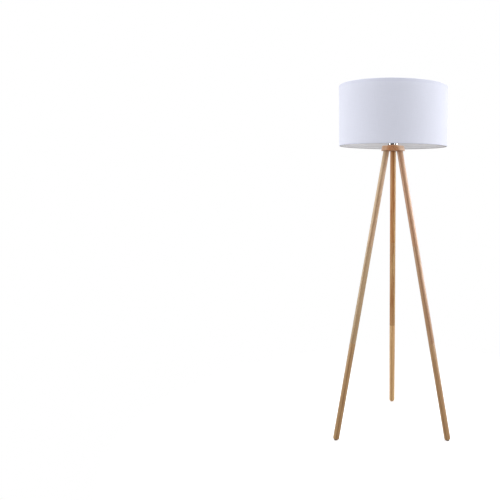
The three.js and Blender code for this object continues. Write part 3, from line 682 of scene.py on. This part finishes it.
def shade_ring():
    """The ring that clamps the shade: a ribbed flange under a plain neck."""
    low, high = (corner.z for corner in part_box("shade_ring"))
    outer = (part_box("shade_ring")[1].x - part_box("shade_ring")[0].x) / 2
    bore, neck, flange, edge = 19.9 * MM, outer - 1.8 * MM, 3.6 * MM, 0.5 * MM
    corners = [(bore, low, edge), (outer, low, edge), (outer, low + flange, edge), (neck, low + flange, edge),
               (neck, high, edge), (bore, high, edge)]
    ribs = 40

    def shape(angle, radius, height):
        depth = 0.45 * MM if radius > neck + 0.8 * MM else 0.0
        return radius - depth * (0.5 + 0.5 * math.cos(ribs * angle)), height
    ring = turned("clamp_ring", rounded(corners, 4), 8 * ribs, shape=shape)
    return fit(on_axis(ring), WHITE_PLASTIC, "shade_ring", "white_plastic", "shade_ring")


# ---- bulb ----


def bulb_cap():
    low, high = (corner.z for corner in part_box("bulb_cap"))
    radius, wall = 12.65 * MM, 0.5 * MM
    inner = radius - 0.35 * MM - wall
    outline = [(inner - 0.9 * MM, low), (radius - 0.9 * MM, low), (radius - 0.2 * MM, low + 0.9 * MM)]
    outline += [(radius, height) for height in stretch(low + 1.4 * MM, high - 2.6 * MM, 0.25 * MM)]
    outline += [(radius + 0.3 * MM, high - 2 * MM), (radius + 0.3 * MM, high)]
    outline += [(inner, high), (inner, low + 1.4 * MM)]
    spiral = helix(low + 1.4 * MM, high - 2.6 * MM, E27_PITCH, 0.33 * MM)

    def shape(angle, outer, height):
        return spiral(angle, outer, height) if outer > inner + 0.5 * MM else (outer, height)
    cap = turned("screw_cap", outline, FINE, shape=shape)
    return fit(on_axis(cap), CAP_METAL, "bulb", "cap_metal", "bulb_cap")


def bulb_body():
    """The plastic collar under the globe, with a fine step where the globe is glued in."""
    low, high = (corner.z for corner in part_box("bulb_body"))
    rim = (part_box("bulb_body")[1].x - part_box("bulb_body")[0].x) / 2
    flange = low + 8.3 * MM
    corners = [
        (0, low, 0), (12 * MM, low, 0.3 * MM), (12 * MM, flange, 0), (14 * MM, flange, 0.5 * MM),
        (14.6 * MM, flange + 8 * MM, 6 * MM), (18.5 * MM, flange + 18 * MM, 12 * MM),
        (rim, high - 1.4 * MM, 3 * MM), (rim, high - 0.7 * MM, 0.2 * MM),
        (rim - 0.5 * MM, high - 0.5 * MM, 0), (rim - 0.5 * MM, high, 0), (0, high, 0),
    ]
    body = turned("bulb_collar", rounded(corners, 8, closed=False), FINE, closed=False)
    return fit(on_axis(body), WHITE_PLASTIC, "bulb", "white_plastic", "bulb_body")


def bulb_globe():
    low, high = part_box("bulb_globe")
    radius = (high.x - low.x) / 2
    centre = high.z - radius
    wall = 1.4 * MM

    def sweep(size, first, last):
        angles = [first + (last - first) * k / 24 for k in range(25)]
        return [(max(0, size * math.cos(a)), centre + size * math.sin(a)) for a in angles]
    start = math.asin((low.z - centre) / radius)
    inside = math.asin((low.z - centre) / (radius - wall))
    outline = sweep(radius, math.pi / 2, start) + sweep(radius - wall, inside, math.pi / 2)
    globe = turned("opal_globe", outline, FINE, closed=False)
    return fit(on_axis(globe), OPAL, "bulb", "opal_glass", "bulb_globe")


def bulb_foot():
    low, high = (corner.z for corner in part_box("bulb_insulator"))
    corners = [(0, low, 0), (5.6 * MM, low, 0.4 * MM), (10.8 * MM, low + 2.4 * MM, 1 * MM),
               (11.6 * MM, low + 3.8 * MM, 0.5 * MM), (11.6 * MM, high, 0), (0, high, 0)]
    glass = turned("cap_insulator", rounded(corners, 4, closed=False), 64, closed=False)
    fit(on_axis(glass), BLACK_PLASTIC, "bulb", "black_plastic", "bulb_insulator")
    low, high = (corner.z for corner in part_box("bulb_contact"))
    corners = [(0, low, 0), (4.6 * MM, low, 1.1 * MM), (4.6 * MM, high, 0), (0, high, 0)]
    tip = turned("cap_tip", rounded(corners, 5, closed=False), 48, closed=False)
    fit(on_axis(tip), CAP_METAL, "bulb_tip", "cap_metal", "bulb_contact")


# ---- shade ----

WIRE_CIRCLE = SHADE_RADIUS - FABRIC - LINER - 2 * GAP - WIRE
WIRE_INSET = FABRIC + GAP + WIRE
HEM_REACH = 0.04                # length of wall that hem_outline() takes in at each edge
ARM_ANGLES = [math.radians(azimuth) for azimuth in (30, 150, 270)]
SEAM_ANGLE = math.pi / 2


def near(angle, target, reach):
    """1 at the target angle, falling to 0 at a distance of reach metres round the shade."""
    apart = abs((angle - target + math.pi) % TAU - math.pi) * SHADE_RADIUS
    return max(0.0, 1 - apart / reach)


def hem_outline():
    """The cover from the middle of its wall to the end of its turned-in hem, as (radius, distance from the
    edge): over the wire, round its inside and back to the lining."""
    edge, bend = SHADE_RADIUS, WIRE_CIRCLE - WIRE - GAP
    tuck = WIRE_CIRCLE + WIRE - FABRIC
    roll = WIRE + FABRIC
    corners = [
        (edge, HEM_REACH, 0), (edge, 0, roll), (bend - FABRIC, 0, roll), (bend - FABRIC, 5.4 * MM, 1.6 * MM),
        (tuck, 8.2 * MM, 1.6 * MM), (tuck, HEM_TURN, 0.2 * MM), (tuck + FABRIC, HEM_TURN, 0.2 * MM),
        (tuck + FABRIC, 7.9 * MM, 1 * MM), (bend, 4.9 * MM, 1 * MM), (bend, FABRIC, WIRE),
        (edge - FABRIC, FABRIC, WIRE), (edge - FABRIC, HEM_REACH, 0),
    ]
    return rounded(corners, 5, closed=False)


def slit(angle):
    """The space that an arm needs where it crosses the turned-in hem."""
    half, middle = 2.2 * MM, WIRE_CIRCLE - WIRE - 1.5 * MM
    low, high = SHADE_TOP - WIRE_INSET - half, SHADE_TOP - WIRE_INSET + half
    corner = math.sqrt(2) * half
    block = turned("slit", [(0, low), (corner, low), (corner, high), (0, high)], 4, closed=False)
    turn = Matrix.Rotation(angle, 4, "Z")
    shape = Matrix.Diagonal((1.4, 1, 1, 1)) @ Matrix.Rotation(math.pi / 4, 4, "Z")
    block.matrix_world = Matrix.Translation(AXIS) @ turn @ Matrix.Translation((middle, 0, 0)) @ shape
    return block


def cover():
    """One band of cloth, lapped down the back, with its two long edges rolled over the wires."""
    half = hem_outline()
    wall = stretch(SHADE_BOTTOM + HEM_REACH, SHADE_TOP - HEM_REACH, 6 * MM)[1:-1]
    outline = [(p.x, SHADE_TOP - p.y) for p in half]
    outline += [(SHADE_RADIUS - FABRIC, height) for height in reversed(wall)]
    outline += [(p.x, SHADE_BOTTOM + p.y) for p in reversed(half)]
    outline += [(SHADE_RADIUS, height) for height in wall]
    tall = SHADE_TOP - SHADE_BOTTOM

    def shape(angle, radius, height):
        from_top, from_bottom = SHADE_TOP - height, height - SHADE_BOTTOM
        is_wall = radius > SHADE_RADIUS - 1.2 * MM
        if not is_wall or min(from_top, from_bottom) < 2.5 * MM:
            return radius, height
        dent = 0.0
        for reach, hem in ((from_top, HEM_TOP), (from_bottom, HEM_BOTTOM)):
            dent += 0.28 * MM * math.exp(-((reach - hem) / (0.9 * MM)) ** 2)
        dent += 0.3 * MM * max(0, 1 - from_bottom / HEM_BOTTOM)
        sway = 0.25 * MM * math.sin(3 * angle + 1.1) * math.sin(math.pi * from_bottom / tall)
        lap = 0.35 * MM * min(1, 6 * near(angle, SEAM_ANGLE, SEAM_LAP / 2))
        return radius - dent + sway + lap, height
    band = on_axis(turned("linen_cover", outline, 288, shape=shape, crease=60))
    cut(band, [slit(angle) for angle in ARM_ANGLES], crease=60)
    fit(band, CLOTH, "shade", "shade_fabric", "shade_cover")
    return band


def lining():
    outer, inset = SHADE_RADIUS - FABRIC - GAP, 1.4 * MM
    low, high = SHADE_BOTTOM + inset, SHADE_TOP - inset
    outline = [(outer, h) for h in stretch(low, high, 8 * MM)]
    outline += [(outer - LINER, h) for h in stretch(high, low, 8 * MM)]

    def shape(angle, radius, height):
        lap = 0.4 * MM * min(1, 8 * near(angle, SEAM_ANGLE, SEAM_LAP / 2))
        return radius - (lap if radius < outer - LINER / 2 else 0), height
    sheet = turned("plastic_lining", outline, 288, shape=shape)
    return fit(on_axis(sheet), LINING, "shade", "shade_lining", "shade_liner")


def hoop(name, node, height):
    sides = 14
    corners = [(WIRE_CIRCLE + WIRE * math.cos(TAU * k / sides), height + WIRE * math.sin(TAU * k / sides))
               for k in range(sides)]
    return fit(on_axis(turned(name, corners, 192)), ENAMEL, "shade", "white_wire", node)


def fitter():
    low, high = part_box("fitter_ring")
    outer, inner, edge = (high.x - low.x) / 2, 20.1 * MM, 0.5 * MM
    corners = [(inner, low.z, edge), (outer, low.z, edge), (outer, high.z, edge), (inner, high.z, edge)]
    plate = turned("fitter_plate", rounded(corners, 4), FINE)
    return fit(on_axis(plate), ENAMEL, "shade", "white_wire", "fitter_ring")


def arm(number, angle):
    """A wire that leaves the fitter level, climbs to the upper hoop and meets it level."""
    low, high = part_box("fitter_ring")
    start = (high.x - low.x) / 2
    end = WIRE_CIRCLE - WIRE
    foot, head = (low.z + high.z) / 2, SHADE_TOP - WIRE_INSET
    radius, level = 1.75 * MM, 7.3 * MM
    corners = [(start, foot, 0), (start + level, foot, 9 * MM), (end - level, head, 9 * MM), (end, head, 0)]
    path = [Vector((p.x * math.cos(angle), p.x * math.sin(angle), p.y))
            for p in rounded(corners, 8, closed=False)]
    wire = tube(f"arm_wire_{number}", path, radius)
    return fit(on_axis(wire), ENAMEL, "shade", "white_wire", f"spider_arm_{number}")


# ---- plain nodes that keep their CAD shape ----


def dress_plain_nodes():
    for name, node in frame["nodes"].items():
        if node.hide_render:
            continue
        threaded = name.startswith("stud_")
        look = ZINC_THREAD if threaded else PLAIN_LOOKS[SLOT_OF[name]]
        node.data.materials.clear()
        node.data.materials.append(look)


# ---- floor, light and camera ----

CAMERA_DISTANCE = 2.306
CAMERA_HEIGHT = 1.079
CAMERA_PITCH = math.radians(4.93)
CAMERA_ROLL = math.radians(0.28)
CAMERA_LENS = 39.32
CAMERA_SHIFT = (-0.2855, -0.0498)

LIGHT_DISTANCE = 2.3
LIGHT_HEIGHT = 2.0
# Azimuth in degrees, width and radiance of each strip; azimuth and power of each softbox.
STRIPS = (("left", -82, 1.2, 3.8), ("front", 35, 0.6, 3.2), ("right", 102, 1.6, 6.5))
SOFTBOXES = (("left", -80, 16), ("right", 85, 18))
AMBIENT = 0.885                 # light that matt parts get from the room, all round
AMBIENT_SLOPE = (0.04, 0, 0.30) # how it rises to the right and upwards
AMBIENT_FRONT = 0.365           # how much it falls towards the front


def camera():
    data = bpy.data.cameras.new("camera")
    data.lens = CAMERA_LENS
    data.sensor_width = 36
    data.shift_x, data.shift_y = CAMERA_SHIFT
    eye = bpy.data.objects.new("camera", data)
    place = Vector((AXIS.x, AXIS.y - CAMERA_DISTANCE, CAMERA_HEIGHT))
    tilt = Matrix.Rotation(math.pi / 2 - CAMERA_PITCH, 4, "X")
    eye.matrix_world = Matrix.Translation(place) @ tilt @ Matrix.Rotation(CAMERA_ROLL, 4, "Z")
    bpy.context.scene.collection.objects.link(eye)
    bpy.context.scene.camera = eye


def area_light(name, place, target, size, power):
    data = bpy.data.lights.new(name, "AREA")
    data.shape = "RECTANGLE"
    data.size, data.size_y = size
    data.energy = power
    lamp = bpy.data.objects.new(name, data)
    lamp.location = place
    lamp.rotation_euler = (Vector(target) - Vector(place)).to_track_quat("-Z", "Y").to_euler()
    bpy.context.scene.collection.objects.link(lamp)
    return lamp


def lights():
    """Tall soft strips round the lamp that only shiny parts see, softboxes that only matt parts see, and one
    overhead for both."""
    height = Vector((0, 0, 1.1))
    raised = Vector((0, 0, 0.3))

    def around(azimuth):
        angle = math.radians(azimuth)
        return AXIS + height + Vector((math.sin(angle), -math.cos(angle), 0)) * LIGHT_DISTANCE

    for name, azimuth, width, radiance in STRIPS:
        power = radiance * math.pi * width * LIGHT_HEIGHT
        strip = area_light(f"{name}_strip", around(azimuth) + raised, AXIS + height + raised,
                           (width, LIGHT_HEIGHT), power)
        strip.visible_diffuse = False
    for name, azimuth, power in SOFTBOXES:
        softbox = area_light(f"{name}_softbox", around(azimuth), AXIS + height, (1.4, LIGHT_HEIGHT), power)
        softbox.visible_glossy = False
    area_light("top_softbox", AXIS + Vector((0, -0.3, 3.4)), AXIS, (2.2, 2.2), 14)


def surroundings():
    """A white studio, darker on the camera's side. Shiny parts see more contrast in it."""
    world = bpy.data.worlds.new("studio")
    world.use_nodes = True
    tree = world.node_tree
    tree.nodes.clear()

    def node(kind, **attributes):
        made = tree.nodes.new(kind)
        for key, value in attributes.items():
            setattr(made, key, value)
        return made

    direction = node("ShaderNodeTexCoord").outputs["Generated"]

    def towards(vector):
        dot = node("ShaderNodeVectorMath", operation="DOT_PRODUCT")
        tree.links.new(direction, dot.inputs[0])
        dot.inputs[1].default_value = vector
        return dot.outputs["Value"]

    def background(strength):
        back = node("ShaderNodeBackground")
        if isinstance(strength, bpy.types.NodeSocket):
            tree.links.new(strength, back.inputs["Strength"])
        else:
            back.inputs["Strength"].default_value = strength
        back.inputs["Color"].default_value = (1, 1, 1, 1)
        return back.outputs[0]

    darker_front = node("ShaderNodeMath", operation="MINIMUM")
    tree.links.new(towards((0, AMBIENT_FRONT, 0)), darker_front.inputs[0])
    darker_front.inputs[1].default_value = 0
    ambient = node("ShaderNodeMath", operation="ADD")
    tree.links.new(darker_front.outputs[0], ambient.inputs[0])
    slope = node("ShaderNodeMath", operation="ADD")
    tree.links.new(towards(AMBIENT_SLOPE), slope.inputs[0])
    slope.inputs[1].default_value = AMBIENT
    tree.links.new(slope.outputs[0], ambient.inputs[1])

    def smooth(value, from_min, from_max, to_min, to_max):
        step = node("ShaderNodeMapRange", interpolation_type="SMOOTHSTEP")
        tree.links.new(value, step.inputs["Value"])
        ranges = {"From Min": from_min, "From Max": from_max, "To Min": to_min, "To Max": to_max}
        for key, number in ranges.items():
            step.inputs[key].default_value = number
        return step.outputs["Result"]

    reflected = node("ShaderNodeMath", operation="MULTIPLY")
    tree.links.new(smooth(towards((0, 1, 0)), 0.1, 0.95, 0.10, 1.1), reflected.inputs[0])
    tree.links.new(smooth(towards((0, 0, 1)), -0.04, 0.03, 0.1, 1.0), reflected.inputs[1])

    path = node("ShaderNodeLightPath")
    shader = background(ambient.outputs[0])
    for ray, strength in (("Is Glossy Ray", reflected.outputs[0]), ("Is Camera Ray", 1.0)):
        mix = node("ShaderNodeMixShader")
        tree.links.new(path.outputs[ray], mix.inputs[0])
        tree.links.new(shader, mix.inputs[1])
        tree.links.new(background(strength), mix.inputs[2])
        shader = mix.outputs[0]
    tree.links.new(shader, node("ShaderNodeOutputWorld").inputs["Surface"])
    bpy.context.scene.world = world
    bpy.context.scene.view_settings.view_transform = "Standard"


def floor():
    """A pale round floor that fades out into the white room. It throws no light back on the lamp, and can't
    be seen from below."""
    disc = turned("floor", [(1.2, 0), (0.6, 0), (0.3, 0), (0, 0)], 96, closed=False)
    disc.location = (AXIS.x, AXIS.y, -0.2 * MM)
    look = Look("floor_paint", (0.93, 0.93, 0.93), 0.7)
    radius = look.node("ShaderNodeVectorMath", {0: look.place()}, operation="LENGTH").outputs["Value"]
    below = look.node("ShaderNodeNewGeometry").outputs["Backfacing"]
    fade = look.math("MAXIMUM", look.spread(radius, 0.4, 1.15), below)
    clear = look.node("ShaderNodeBsdfTransparent")
    glow = look.node("ShaderNodeEmission", {"Strength": 0.3})
    lit = look.node("ShaderNodeAddShader", {0: look.shader.outputs[0], 1: glow.outputs[0]})
    mixed = look.node("ShaderNodeMixShader", {0: fade, 1: lit.outputs[0], 2: clear.outputs[0]})
    look.tree.links.new(mixed.outputs[0], look.tree.nodes["Material Output"].inputs["Surface"])
    disc.data.materials.append(look.material)
    disc.visible_diffuse = False
    disc.visible_glossy = False


# ---- making ----

camera()
surroundings()
lights()
floor()

axes = {side: LegAxis(side) for side in SIDES}
for side, axis in axes.items():
    for number, section in enumerate(SECTIONS):
        leg_section(side, section, axis, number)
    foot_pad(side, axis)
hub(axes)
nipple()
washer()
hex_nut()
bush()
cup()
holder_body()
shade_ring()
bulb_cap()
bulb_body()
bulb_globe()
bulb_foot()
hoop("top_hoop", "top_wire_ring", SHADE_TOP - WIRE_INSET)
hoop("bottom_hoop", "bottom_wire_ring", SHADE_BOTTOM + WIRE_INSET)
cover()
lining()
fitter()
for number, angle in enumerate(ARM_ANGLES, start=1):
    arm(number, angle)
dress_plain_nodes()
